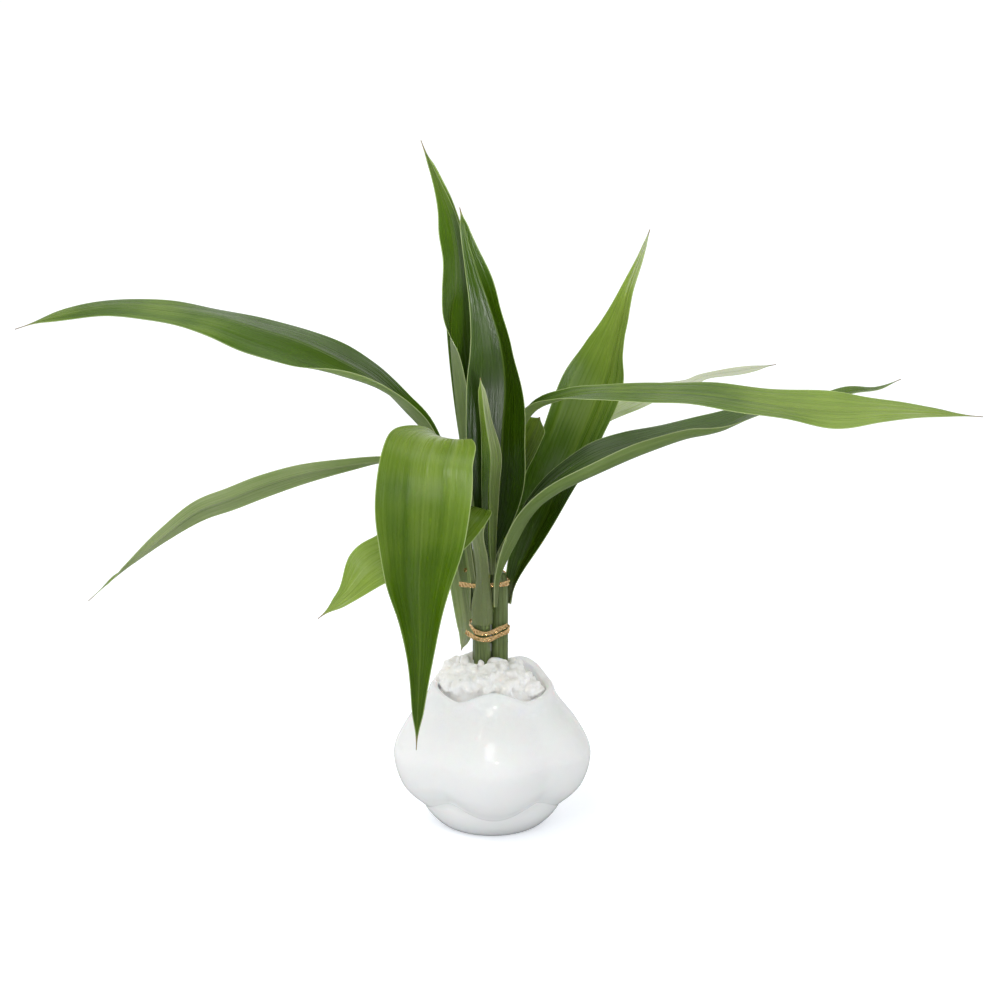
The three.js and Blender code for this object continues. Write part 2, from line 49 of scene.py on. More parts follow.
# Leaves: the way the upper face looks at the base, how light the green is (0 deep, 1 pale, and
# near 1 a painted silvery sheen), how far up the sheath's grey bloom goes and how much of the end
# is dried up, as shares of the length, and stations from base to tip: x, y, z of the midrib, full
# width, lift of the left and right half in degrees, and how much more each half turns up by its
# margin. Some leaves also have their own change of tone from base to tip ("paler"), which is
# painted light: painted shade at the base where the green gets paler to the tip, and painted sheen
# on the upper part where it gets darker. Some have their own width of the fold beside the midrib,
# as a share of the half blade ("fold"), or a right half whose underside takes the upper side's
# deep green as well ("rolled").
LEAVES = {
    "leaf_front_upright": dict(face=(-0.3, -1, 0), tone=0.12, sheath=0.08, dry=0.02, stations=[
        (0.2, 0.3, 120.5, 4, 60, 60, 0, 0),
        (0, 0, 131, 11, 45, 45, 0, 0),
        (2, 0, 145, 19, 25, 25, 0, 0),
        (4, 1, 164, 28, 25, 25, 0, 0),
        (5, 2, 186, 34, 30, 40, 0, 0),
        (6, 2, 207, 35, 30, 50, 0, 0),
        (4, 3, 225, 28, 25, 55, 0, 0),
        (-1, 2, 243, 18, 15, 45, 0, 0),
        (-7, -1, 261, 10, 0, 0, 0, 0),
        (-11, -3, 275, 5, 0, 0, 0, 0),
        (-14, -4, 288, 1, 0, 0, 0, 0),
    ]),
    "leaf_left_upright": dict(face=(0.9, -0.5, 0), tone=0.32, sheath=0.08, dry=0.03, stations=[
        (-7.5, 4.8, 108.4, 4, 60, 60, 0, 0),
        (-9, 11, 142, 11, 75, 60, 0, 0),
        (-13, 12, 170, 18, 65, 60, 0, 0),
        (-16, 11, 198, 22, 65, 55, 0, 0),
        (-18, 9, 222, 25, 45, 30, 0, 0),
        (-18, 7, 238, 24, 15, 20, 0, 0),
        (-16, 5, 251, 22, -5, 5, 0, 0),
        (-16, 4, 265, 17, -15, 5, 0, 0),
        (-18, 3, 278, 14, -25, 0, 0, 0),
        (-21, 2, 289, 9, -15, 5, 0, 0),
        (-26, 1, 303, 4, 0, 0, 0, 0),
        (-31, 0, 317, 1, 0, 0, 0, 0),
    ]),
    "leaf_back_upright": dict(face=(-0.2, -1, 0), tone=0.4, sheath=0.08, dry=0.02, stations=[
        (-3, 7, 108.4, 4, 60, 60, 0, 0),
        (-4, 15, 135, 9, 20, 20, 0, 0),
        (-5, 20, 160, 14, 20, 20, 0, 0),
        (-9, 21, 201, 18, 25, 25, 0, 0),
        (-13, 20, 238, 16, 20, 20, 0, 0),
        (-16, 18, 265, 12, 15, 15, 0, 0),
        (-20, 15, 286, 7, 10, 10, 0, 0),
        (-24, 13, 299, 3, 10, 10, 0, 0),
        (-29, 12, 310, 1, 0, 0, 0, 0),
    ]),
    "leaf_young": dict(face=(0.1, 1, 0), tone=0.45, rolled=True, sheath=0.1, dry=0.01, stations=[
        (0.3, -6.6, 120.5, 3, 40, 40, 0, 0),
        (-1, -9.5, 137, 9, 55, 55, 0, 0),
        (-1, -11, 161, 13, 55, 55, 0, 0),
        (-0.5, -12, 177, 13, 50, 50, 0, 0),
        (-3, -12, 195, 7, 50, 50, 0, 0),
        (-5, -12, 213, 1, 0, 0, 0, 0),
    ]),
    # This leaf's green gets darker towards the tip: painted sheen on its crest and upper part
    "leaf_front_drooping": dict(face=(0.5, 0.85, 0), tone=0.56, paler=-0.6, sheath=0.08, dry=0.02,
                                fold=0.7, stations=[
        (-5.2, -1.5, 108.4, 4, 60, 60, 0, 0),
        (-8, 3, 135, 6, 50, 50, 0, 0),
        (-12.5, 2.5, 158, 7, 50, 50, 0, 0),
        (-18, -5, 177, 13, 50, 50, 0, 0),
        (-21, -18, 187, 24, 20, 20, 0, 0),
        (-25, -35, 189, 37, 8, 8, 0, 0),
        (-28, -51, 183, 40, 10, 10, 0, 0),
        (-29, -59, 169, 42, 20, 10, 0, 0),
        (-30, -63, 152, 40, 30, 25, 0, 0),
        (-31, -66, 135, 33, 45, 40, 0, 0),
        (-31, -68, 117, 21, 40, 45, 0, 0),
        (-31, -68, 99, 12, 35, 40, 0, 0),
        (-32, -67, 78, 6, 30, 35, 0, 0),
        (-33, -65, 57, 1, 0, 0, 0, 0),
    ]),
    "leaf_low_front": dict(face=(0.5, 0.85, 0), tone=0.6, sheath=0.34, dry=0.02, stations=[
        (-4.4, -9.35, 97.2, 12, 43, -17, 72, 72),
        (-4.4, -9.5, 107, 12, 43, -17, 72, 72),
        (-4.3, -9.8, 117, 8, 45, 0, 55, 55),
        (-5.3, -10.6, 129, 7, 35, 15, 30, 30),
        (-7.2, -11.6, 141, 7, 25, 20, 0, 0),
        (-8.3, -13, 153, 16, 5, 5, 0, 0),
        (-14, -24, 156, 30, -10, 10, 0, 0),
        (-25, -38, 148, 29, -25, 10, 0, 0),
        (-40, -50, 142, 32, -20, 10, 0, 0),
        (-52, -58, 137, 28, 5, 15, 0, 0),
        (-63, -64, 127, 12, 5, 0, 0, 0),
        (-75, -68, 118, 1, 0, 0, 0, 0),
    ]),
    "leaf_upper_left": dict(face=(0.9, -0.1, 0.3), tone=0.4, sheath=0.06, dry=0.025, stations=[
        (-7.8, -2.8, 108.4, 4, 60, 60, 0, 0),
        (-13, 0, 140, 6, 60, 60, 0, 0),
        (-19, 1, 160, 8, 60, 60, 0, 0),
        (-29, 2, 183, 12, 55, 55, 0, 0),
        (-39, -1, 196, 20, 35, 20, 30, 0),
        (-52, -5, 210, 32, 0, 5, 70, 0),
        (-68, -7, 220, 38, -25, 0, 100, 0),
        (-85, -7, 228, 36, -30, 0, 40, 0),
        (-104, -6, 234, 33, -25, -5, 0, 0),
        (-123, -4, 239, 27, -20, -5, 0, 0),
        (-148, -2, 242, 20, -12, 5, 0, 0),
        (-170, 0, 243, 15, -15, 5, 0, 0),
        (-193, 2, 239, 9, -20, 10, 0, 0),
        (-214, 4, 232, 1, 0, 0, 0, 0),
    ]),
    "leaf_lower_left": dict(face=(0.9, -0.4, 0.3), tone=0.5, sheath=0.06, dry=0.02, stations=[
        (-5.7, 10.25, 103.5, 4, 60, 60, 0, 0),
        (-9, 22, 133, 6, 60, 60, 0, 0),
        (-19, 31, 151, 7, 60, 60, 0, 0),
        (-35, 39, 161, 6, 75, 30, 0, 0),
        (-51, 47, 161, 5, 95, -10, 0, 0),
        (-70, 55, 157, 7, 110, -55, 0, 0),
        (-92, 62, 151, 11, 118, -62, 0, 0),
        (-111, 67, 144, 13, 120, -60, 0, 0),
        (-127, 70, 137, 13, 120, -60, 0, 0),
        (-143, 73, 130, 12, 115, -55, 0, 0),
        (-160, 75, 117, 8, 95, -35, 0, 0),
        (-176, 76, 103, 5, 40, 0, 0, 0),
        (-186, 76, 95, 6, -20, 30, 0, 0),
        (-198, 76, 84, 1, 0, 0, 0, 0),
    ]),
    # This leaf's green is deep at the base and pale at the tip: painted shade on its lower part,
    # where leaf_right_high shades it
    "leaf_upper_right": dict(face=(-0.7, -0.9, 0.2), tone=0.62, paler=0.8, sheath=0.08, dry=0.02,
                             stations=[
        (8.5, 2.8, 104, 6, 60, 60, 0, 0),
        (11.4, 5.2, 117, 10, 40, 40, 0, 0),
        (24.4, 11.2, 143, 28.5, 33, 35, 0, 0),
        (32, 20, 159, 33, 25, 30, 0, 0),
        (39, 26, 173, 36, 20, 25, 0, 0),
        (51, 36, 200, 39, 15, 30, 0, 0),
        (56, 40, 216, 30, 5, 38, 0, 0),
        (59, 42, 227, 20, 0, 38, 0, 0),
        (63, 44, 243, 9, -5, 25, 0, 0),
        (69, 46, 259, 3, 0, 0, 0, 0),
        (73, 47, 271, 1, 0, 0, 0, 0),
    ]),
    "leaf_right_high": dict(face=(-0.8, 0.3, 0.2), tone=0.6, sheath=0.06, dry=0.02, stations=[
        (5, 1.5, 120.5, 4, 60, 60, 0, 0),
        (6, 6, 142, 6, 60, 60, 0, 0),
        (8, 7, 165, 8, 60, 60, 0, 0),
        (17, 3, 192, 10, 50, 50, 0, 0),
        (31, -6, 202, 13, 25, 25, 0, 0),
        (48, -16, 207, 16, 5, 0, 0, 0),
        (70, -26, 209, 20, 5, 0, 0, 0),
        (90, -34, 210, 23, 5, 0, 0, 0),
        (108, -40, 209, 25, 5, 0, 0, 0),
        (129, -46, 207, 27, 10, 0, 0, 0),
        (150, -51, 206, 27, 15, -8, 0, 0),
        (169, -55, 207, 20, 5, -5, 0, 0),
        (188, -59, 207, 10, 5, 5, 0, 0),
        (210, -62, 206, 1, 0, 0, 0, 0),
    ]),
    "leaf_right_low": dict(face=(-0.9, -0.1, 0.3), tone=0.3, sheath=0.06, dry=0.02, stations=[
        (2.3, -7, 105.5, 3, 60, 60, 0, 0),
        (4, -8.6, 121, 6, 60, 60, 0, 0),
        (11, -10, 137, 15, 20, 50, 0, 20),
        (19, -11, 151, 23, 15, 20, 0, 70),
        (32, -10, 163, 31, 15, -5, 0, 120),
        (49, -8, 172, 34, 25, -15, 0, 135),
        (67, -3, 178, 33, 20, -10, 0, 130),
        (85, 3, 183, 29, 15, -10, 0, 110),
        (102, 7, 186, 24, 20, -10, 0, 70),
        (122, 12, 193, 18, 10, 5, 0, 0),
        (146, 17, 196, 12, 5, 5, 0, 0),
        (164, 21, 200, 9, 20, 0, 0, 0),
        (177, 23, 201, 5, 5, 0, 0, 0),
        (188, 25, 205, 1, 0, 0, 0, 0),
    ]),
    # Tone 1 takes this leaf to the top of the ramp: a painted silvery sheen
    "leaf_back_right": dict(face=(-0.4, -0.6, 0.3), tone=1, sheath=0.06, dry=0.02, stations=[
        (-1.2, 9, 108.4, 4, 60, 60, 0, 0),
        (4, 24, 138, 7, 50, 50, 0, 0),
        (20, 42, 160, 12, 30, 30, 0, 0),
        (42, 58, 174, 20, 15, 20, 0, 0),
        (64, 74, 184, 24, -5, 10, 0, 0),
        (81, 84, 188, 16, -5, 5, 0, 0),
        (96, 92, 190, 9, -10, 5, 0, 0),
        (104, 97, 192, 6, 0, 5, 0, 0),
        (122, 106, 193, 7, 5, 0, 0, 0),
        (140, 112, 195, 1, 0, 0, 0, 0),
    ]),
    "leaf_back_hanging": dict(face=(0.9, -0.3, 0.3), tone=0.6, sheath=0.1, dry=0.02, stations=[
        (-9.8, 6, 99.5, 5, 5, 5, 40, 40),
        (-10.8, 8, 117, 7, 40, 40, 0, 0),
        (-12.5, 11, 131, 8, 20, 20, 0, 0),
        (-15.5, 13.5, 134, 9, 15, 15, 0, 0),
        (-16.4, 15, 125, 10, 15, 15, 0, 0),
        (-14, 15.5, 107, 10, 15, 15, 0, 0),
        (-12, 15.5, 92, 9, 15, 15, 0, 0),
        (-12.2, 14.5, 85, 6, 10, 10, 0, 0),
        (-14.4, 14, 78, 1, 0, 0, 0, 0),
    ]),
    "leaf_torn": dict(face=(-0.5, -0.9, 0.1), tone=0.6, sheath=0.08, dry=0.012, stations=[
        (0.5, 5.8, 108.4, 4, 60, 60, 0, 0),
        (3.6, 15.5, 135, 6, 35, 35, 0, 0),
        (10.5, 18.5, 160, 11, 25, 25, 0, 0),
        (16.5, 16.5, 176, 14, 20, 20, 0, 0),
        (22, 12, 190, 12, 10, 10, 0, 0),
    ]),
}
# What a leaf's skin tells its materials at each of its points
LEAF_VALUES = ("across", "along", "from_edge", "from_rib", "dried", "sheath", "tone", "seed")
BLADE_STEPS = 110
# Where the points of a half blade lie between midrib and margin
ACROSS = (0, 0.03, 0.07, 0.14, 0.24, 0.36, 0.5, 0.64, 0.77, 0.88, 0.95, 1)
FOLD_SHARE = 0.12
BLADE_THICK = 0.42
MARGIN_THICK = 0.2
RIB_DEEP = 0.35
RIB_HALF = 0.9
# How far below the midrib's upper side the keel lies, as a share of its depth
KEEL_SUNK = 0.5
TIP_WIDTH = 0.4
# Where the blade starts to narrow to its tip, as a share of its length
TIP_START = 0.93
# How much paler the green is at the tip than at the base, as painted shade that darkens a blade
# towards its base, and where along the blade its tone is the leaf's own
PALER_TO_TIP = 0.5
OWN_TONE_AT = 0.6
# Ripples of the margin; a strip narrower than the first half width, in millimetres, has none
RIPPLE_DEG = 5
RIPPLE_LENGTH = 42
RIPPLE_FROM, RIPPLE_FULL = 3, 12
# Colours over the green
SHEATH_BLOOM = "#6f7b4e"
DRIED_TIP = "#96805c"

# Canes
CANE_R = 4.05
CANE_FOOT = 12
CANE_TAPER = 8
CANE_TOP_R = 2.9
CANE_SIDES = 40
CANE_RING = 0.5
# Leaf scars: how many, the lowest above the foot, how far apart, how uneven, how wide and high
SCAR_COUNT = 4
SCAR_FIRST = 14
SCAR_STEP = 21
SCAR_CHANCE = 3
SCAR_WIDE = 0.7
SCAR_HIGH = 0.12
# Where each cane stands, x and y, and how high its top is
CANES = {"cane_front": (-4.3, -4.5, 108), "cane_right": (3.6, -1, 120), "cane_back": (-5, 4.8, 108)}

# Ties: centre line of a flat gilt band that stands upright
BAND_WIDTH = 2.4
BAND_THICK = 0.16
BAND_STEPS = 240
BAND_COLUMNS = 6
# How much narrower the band gets where it is pinched, and how far its middle stands out
BAND_PINCH = 0.12
BAND_CUP = 0.14
# Creases across the band: how high, how far apart and how uneven
CRIMP = 0.24
CRIMP_LENGTH = 2.9
CRIMP_CHANCE = 0.04
TIES = {
    "tie_lower": [
        (-12, -4.6, 93), (-10.1, -6.5, 92), (-8, -8.4, 91.3), (-4.3, -9.6, 90.5),
        (-0.3, -8.8, 90.7), (3.6, -6.2, 91.7), (6.9, -4.3, 92.7), (8.3, -1, 93.3), (7, 2.4, 93.7),
        (2, 7.4, 93.9), (-3, 9.9, 94.1), (-8.5, 8.6, 94.5), (-10.2, 3, 95.1), (-9.4, -4, 95.1),
        (-7.2, -8.4, 94), (-3, -9.6, 93.4), (1, -8, 94), (4.6, -6.3, 95.2), (7.4, -4.6, 96.2),
    ],
    "tie_upper": [
        (-15, -0.8, 114.6), (-12.3, -2.8, 114.7), (-9.6, -4.3, 114.8), (-6.8, -5.8, 114.8),
        (-4, -6.6, 114.9), (-1.6, -5.6, 115.1), (1, -5, 115.4), (4.2, -5.4, 115.6),
        (7.3, -3.6, 115.7), (8.3, -0.6, 115.7), (7.3, 2.6, 115.7), (6.6, 7.5, 115.7),
        (6, 13, 115.9), (-0.5, 17.8, 116.2), (-8, 17.6, 116.5), (-13, 15.5, 116.6),
    ],
}

# Pot
FRONT_LOBE = math.radians(-88)
# How high each lobe lifts the rim, from the front one round by the right
LOBE_RISES = (6, 0, 5, 3, 1.6)
FOOT_R = 23
SKIRT_R = 33.5
SKIRT_Z = 16
LOBE_LOW = 11
LOBE_HIGH = 17.5
LOBE_BULGE = 16.3
LOBE_SOFTNESS = 1.5
NOTCH_SHARE = 0.72
NECK_R = 30.5
RIM_Z = 65.4
RIM_TILT = 1.5
WALL = 3.8
FLOOR_Z = 8
LIP_R = NECK_R - 1.9
POT_SIDES = 300
# Rings between two stations of the pot's profile
FINE_RINGS = 3
# Where the skirt's rings lie, as shares of its height
SKIRT_RINGS = (0.12, 0.35, 0.55, 0.75, 0.9)
# A lobe from its low edge to the rim: share of the height, and of the bulge
BULGE = [(0, 0), (0.012, 0.06), (0.045, 0.2), (0.1, 0.43), (0.18, 0.68), (0.27, 0.85),
         (0.36, 0.96), (0.45, 0.99), (0.53, 0.92), (0.61, 0.77), (0.69, 0.59), (0.77, 0.34),
         (0.85, 0.1), (0.92, -0.05), (0.975, -0.12)]
# The rolled lip: how far in from its outer edge, and how far above the rim's height
LIP = [(0.6, 0.4), (1.9, 0.6), (3.2, -0.1), (WALL, -1.4)]
# Radius and height of the pot's inside below the lip
POT_INSIDE = [(25.6, 58), (30.2, 48), (34.2, 37), (34, 27), (30, 18), (24.5, 11.5),
              (14, FLOOR_Z)]

# Stones
MOUND_TOP = 80
MOUND_EDGE = 67.5
MOUND_R = 26.5
MOUND_STEEPNESS = 4
DIP_DEPTH = 10
MOUND_LEAN = 0.1
DIP_SIDE = math.radians(35)
# How far out on its side the dip starts and is at its full depth
DIP_FROM, DIP_FULL = 4, 20
# The bed under the stones: how far below the top of the heap it stays, how wide and high it is
# where it follows the pot's inside, and the radii of its rings on top
BED_SIDES = 60
BED_UNDER = 2.6
BED_FOOT = FLOOR_Z + 0.5
BED_WALL = [(14, BED_FOOT), (24, 12), (29.5, 18.5), (33.5, 27), (33.7, 37), (29.7, 48),
            (25.1, 57), (24.3, 62)]
BED_RINGS = (22, 18, 13, 8, 3)
STONE_R = 3.7
STONE_SIZES = (0.6, 1.2)
STONE_COUNT = 260
STONE_CORNERS = 14
STONES_REACH = 25.5
STONES_OVER_LIP = 26.6
# Every second stone lies this much deeper, and each one this share of its size in the heap
STONE_LAYER = 2.6
STONE_SUNK = 0.7
STONE_WEAR = 0.16
STONE_VOXEL = 0.5
STONE_SMOOTHINGS = 5
GOLDEN_TURN = math.pi * (3 - math.sqrt(5))

# Camera
FIELD_OF_VIEW = math.radians(22)
LOOK_DOWN = math.radians(14)
CAMERA_DISTANCE = 1.17
AIM = Vector((0.0038, 0, 0.154))
SOFT_LIGHT_WAY = Vector((-0.1, 0.3, 0.95)).normalized()

# The sockets of a Mix node set to colours
MIX_A, MIX_B, MIX_OUT = 6, 7, 2


def linear(hex_colour):
    """An sRGB hex colour as the linear colour that the shaders work in."""
    channels = [int(hex_colour[i:i + 2], 16) / 255 for i in (1, 3, 5)]
    return [c / 12.92 if c <= 0.04045 else ((c + 0.055) / 1.055) ** 2.4 for c in channels] + [1]


def smooth(low, high, value):
    """0 below low, 1 above high, and a soft step between them."""
    share = min(max((value - low) / (high - low), 0), 1)
    return share * share * (3 - 2 * share)


def node(material, kind, inputs=None, ramp=None, **settings):
    """Adds a shader node; an input is a plain value or the output socket that feeds it."""
    tree = material.node_tree
    made = tree.nodes.new("ShaderNode" + kind)
    for name, value in settings.items():
        setattr(made, name, value)
    for name, value in (inputs or {}).items():
        if isinstance(value, bpy.types.NodeSocket):
            tree.links.new(value, made.inputs[name])
        else:
            made.inputs[name].default_value = value
    if ramp:
        stops = made.color_ramp.elements
        while len(stops) < len(ramp):
            stops.new(1)
        for stop, (place, colour) in zip(stops, ramp):
            stop.position = place
            stop.color = linear(colour)
    return made


def new_material(name, **plain):
    """A material and its shader, with the shader's uniform values set on its own sockets."""
    material = bpy.data.materials.new(name)
    material.use_nodes = True
    shader = material.node_tree.nodes["Principled BSDF"]
    for socket, value in plain.items():
        shader.inputs[socket.replace("_", " ")].default_value = value
    return material, shader


def wire(material, shader, **sources):
    """Feeds the shader's sockets from the output sockets given under their names."""
    for socket, source in sources.items():
        material.node_tree.links.new(source, shader.inputs[socket.replace("_", " ")])
    return material


def between(stations, t):
    """Value of evenly spread stations at t from 0 to 1, smooth through each of them."""
    span = min(max(t, 0), 1) * (len(stations) - 1)
    i = min(int(span), len(stations) - 2)
    f = span - i
    values = []
    for k, p1 in enumerate(stations[i]):
        p2 = stations[i + 1][k]
        p0 = stations[i - 1][k] if i > 0 else 2 * p1 - p2
        p3 = stations[i + 2][k] if i < len(stations) - 2 else 2 * p2 - p1
        square = (2 * p0 - 5 * p1 + 4 * p2 - p3) * f * f
        cube = (3 * p1 - p0 - 3 * p2 + p3) * f ** 3
        values.append(0.5 * (2 * p1 + (p2 - p0) * f + square + cube))
    return values


def frames_along(stations, face, steps):
    """The frames along a midrib at equal steps of length, the face carried without twist."""
    fine = 400
    up = Vector(face)
    length = 0
    walk = []
    for k in range(fine + 1):
        t = k / fine
        at = Vector(between(stations, t)[:3])
        ahead = Vector(between(stations, t + 0.002)[:3]) - Vector(between(stations, t - 0.002)[:3])
        along = ahead.normalized()
        up = (up - along * up.dot(along)).normalized()
        if walk:
            length += (at - walk[-1][1]).length
        walk.append((t, at, along, up, length))
    frames = []
    place = 0
    for s in range(steps + 1):
        goal = s / steps * length
        while place < fine and walk[place][4] < goal - 1e-6:
            place += 1
        frames.append(walk[place])
    return frames


def new_piece(name, points, faces, materials):
    """A smooth mesh from points in millimetres that takes the place of the node of its name."""
    mesh = bpy.data.meshes.new(name + "_skin")
    mesh.from_pydata([Vector(p) * MM for p in points], [], faces)
    mesh.validate()
    for material in materials:
        mesh.materials.append(material)
    mesh.shade_smooth()
    piece = bpy.data.objects.new(name + "_grown", mesh)
    bpy.context.collection.objects.link(piece)
    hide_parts(name)
    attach(piece, "root")
    return piece


def plate_normals(rows):
    """For each point of a plate's middle rows, the way that its upper side looks."""
    normals = []
    for r, row in enumerate(rows):
        before, after = rows[max(r - 1, 0)], rows[min(r + 1, len(rows) - 1)]
        sides = [row[min(c + 1, len(row) - 1)] - row[max(c - 1, 0)] for c in range(len(row))]
        normals.append([side.cross(after[c] - before[c]).normalized()
                        for c, side in enumerate(sides)])
    return normals


def plate_faces(steps, wide):
    """The faces of a closed plate whose rows hold the upper points and then the lower ones,
    back from the far side: first all round from row to row, then the two ends."""
    count = 2 * wide
    faces = []
    for r in range(steps):
        for i in range(count):
            j = (i + 1) % count
            faces.append((r * count + i, r * count + j, (r + 1) * count + j, (r + 1) * count + i))
    end = steps * count
    for c in range(wide - 1):
        mirror = count - 1 - c
        faces.append((c, mirror, mirror - 1, c + 1))
        faces.append((end + c, end + c + 1, end + mirror - 1, end + mirror))
    return faces


def half_blade(at, up, right, half_width, lift, turn, ripple, fold):
    """Points of a half blade from beside the midrib out to its margin."""
    point = at.copy()
    points = []
    for inner, outer in zip(ACROSS, ACROSS[1:]):
        middle = (inner + outer) / 2
        angle = lift * smooth(0, fold, middle) + (turn + ripple) * middle ** 2
        stride = (outer - inner) * half_width
        point = point + right * (stride * math.cos(math.radians(angle)))
        point = point + up * (stride * math.sin(math.radians(angle)))
        points.append(point)
    return points


def grow_leaf(name, leaf, materials):
    """A blade with its fold, keel and ripples, from the stations of its midrib."""
    random.seed(name)
    fold = leaf.get("fold", FOLD_SHARE)
    rolled = leaf.get("rolled", False)
    phase = [random.uniform(0, 2 * math.pi) for _ in range(2)]
    reach = len(ACROSS) - 1
    wide = 2 * reach + 1
    rows = []
    sizes = []
    for t, at, along, up, length in frames_along(leaf["stations"], leaf["face"], BLADE_STEPS):
        width, lift_left, lift_right, turn_left, turn_right = between(leaf["stations"], t)[3:]
        half = (max(width, 0) * (1 - smooth(TIP_START, 1, t)) + TIP_WIDTH) / 2
        right = along.cross(up)
        swing = RIPPLE_DEG * smooth(RIPPLE_FROM, RIPPLE_FULL, half) * smooth(0, 0.3, t)
        ripples = [swing * math.sin(2 * math.pi * length / RIPPLE_LENGTH + p) for p in phase]
        left_points = half_blade(at, up, -right, half, lift_left, turn_left, ripples[0], fold)
        right_points = half_blade(at, up, right, half, lift_right, turn_right, ripples[1], fold)
        rows.append([*reversed(left_points), at, *right_points])
        sizes.append((t, half))

    across = [-share for share in reversed(ACROSS[1:])] + list(ACROSS)
    points = []
    values = {name: [] for name in LEAF_VALUES}
    # The tone's slope along the blade is painted light: painted shade towards the base, or painted
    # sheen near the base where the slope is negative
    paler = leaf.get("paler", PALER_TO_TIP)
    for row, normals, (t, half) in zip(rows, plate_normals(rows), sizes):
        upper, lower = [], []
        for c, (point, normal) in enumerate(zip(row, normals)):
            share = abs(across[c])
            keel = 1 - smooth(0, RIB_HALF, share * half)
            thick = MARGIN_THICK + (BLADE_THICK - MARGIN_THICK) * (1 - share)
            deep = RIB_DEEP * keel * smooth(0, 6, half)
            upper.append(point + normal * (thick / 2 - deep * KEEL_SUNK))
            lower.append(point - normal * (thick / 2 + deep))
        points += upper + lower[::-1]
        for c in [*range(wide), *reversed(range(wide))]:
            share = abs(across[c])
            values["across"].append(across[c])
            values["along"].append(t)
            # Painted shade and sheen: the tone slopes from base to tip
            values["tone"].append(leaf["tone"] + paler * (t - OWN_TONE_AT))
            values["from_edge"].append((1 - share) * half)
            values["from_rib"].append(share * half)
            values["dried"].append(smooth(1 - 1.6 * leaf["dry"], 1 - 0.4 * leaf["dry"], t))
            values["sheath"].append(1 - smooth(0.6 * leaf["sheath"], 1.2 * leaf["sheath"], t))
            values["seed"].append(leaf["tone"])

    # The first material is for the upper side and the ends, the second for the underside; a
    # leaf may take the first under its right half too, so that this half shows the deep upper green
    count = 2 * wide
    faces = plate_faces(BLADE_STEPS, wide)
    round_faces = BLADE_STEPS * count
    first_under = wide + reach if rolled else wide
    under = [k < round_faces and first_under <= k % count < count - 1 for k in range(len(faces))]
    mesh = new_piece(name, points, faces, materials).data
    mesh.polygons.foreach_set("material_index", [int(u) for u in under])
    mesh.set_sharp_from_angle(angle=LEAF_SHARP)
    for value_name, numbers in values.items():
        mesh.attributes.new(value_name, "FLOAT", "POINT").data.foreach_set("value", numbers)


def leaf_pattern(material, deep, mid, light, painted_sheen, margin, vein_contrast):
    """The colour and vein height that both faces of a blade share. The colour also holds
    painted light: a painted silvery sheen at the top of the tone ramp, and painted light and
    shade in strips along the pleats.
    """
    read = {name: node(material, "Attribute", attribute_name=name).outputs["Fac"]
            for name in LEAF_VALUES}
    own = node(material, "Math", {0: read["seed"], 1: 90}, operation="MULTIPLY").outputs[0]

    def stripes(across, along, detail, roughness):
        """Noise with so many stripes on half a blade, drawn out along it."""
        side = node(material, "Math", {0: read["across"], 1: across},
                    operation="MULTIPLY").outputs[0]
        run = node(material, "Math", {0: read["along"], 1: along}, operation="MULTIPLY").outputs[0]
        where = node(material, "CombineXYZ", {"X": side, "Y": run, "Z": own}).outputs[0]
        return node(material, "TexNoise", {
            "Vector": where, "Scale": 1, "Detail": detail, "Roughness": roughness}).outputs["Fac"]

    def swung(noise, contrast):
        """Noise as a change of tone, as much up as down."""
        return node(material, "Math", {0: noise, 1: contrast, 2: -contrast / 2},
                    operation="MULTIPLY_ADD").outputs[0]

    # The real veins lie 0.3 mm apart; they are drawn about 1 mm apart so that they show.
    streak = stripes(17, 5, 4, 0.65)
    # Pleats: strips a few millimetres wide that run on for most of the blade. They raise the bump,
    # and they also lighten and darken the green in strips: painted light and shade of the pleats
    pleat_and_painted_shade = stripes(4.5, 1.6, 2, 0.5)
    # Patches of lighter tissue 40 mm across
    place = node(material, "TexCoord").outputs["Object"]
    patch = node(material, "TexNoise", {"Vector": place, "Scale": 25, "Detail": 2}).outputs["Fac"]
    tone = read["tone"]
    # The pleats' share of the tone is painted light and shade
    for noise, contrast in ((streak, vein_contrast), (patch, 0.5), (pleat_and_painted_shade, 0.26)):
        tone = node(material, "Math", {0: tone, 1: swung(noise, contrast)},
                    operation="ADD").outputs[0]
    # The ramp's last stop is a painted silvery sheen, reached where the tone comes near 1
    green = node(material, "ValToRGB", {"Fac": tone},
                 ramp=[(0, deep), (0.45, mid), (0.8, light), (1, painted_sheen)]).outputs["Color"]

    def fading(distance, start, end, share):
        """A share of cover that fades out between two distances in millimetres."""
        return node(material, "MapRange", {
            "Value": distance, "From Min": start, "From Max": end,
            "To Min": share, "To Max": 0}).outputs[0]

    colour = green
    for share, over in ((fading(read["from_rib"], 0.15, 0.6, 0.18), light),
                        (read["sheath"], SHEATH_BLOOM),
                        (fading(read["from_edge"], 0.15, 0.5, 0.6), margin),
                        (read["dried"], DRIED_TIP)):
        colour = node(material, "Mix", {0: share, MIX_A: colour, MIX_B: linear(over)},
                      data_type="RGBA").outputs[MIX_OUT]
    height = node(material, "Math", {0: pleat_and_painted_shade, 1: 4, 2: streak},
                  operation="MULTIPLY_ADD").outputs[0]
    return colour, streak, height


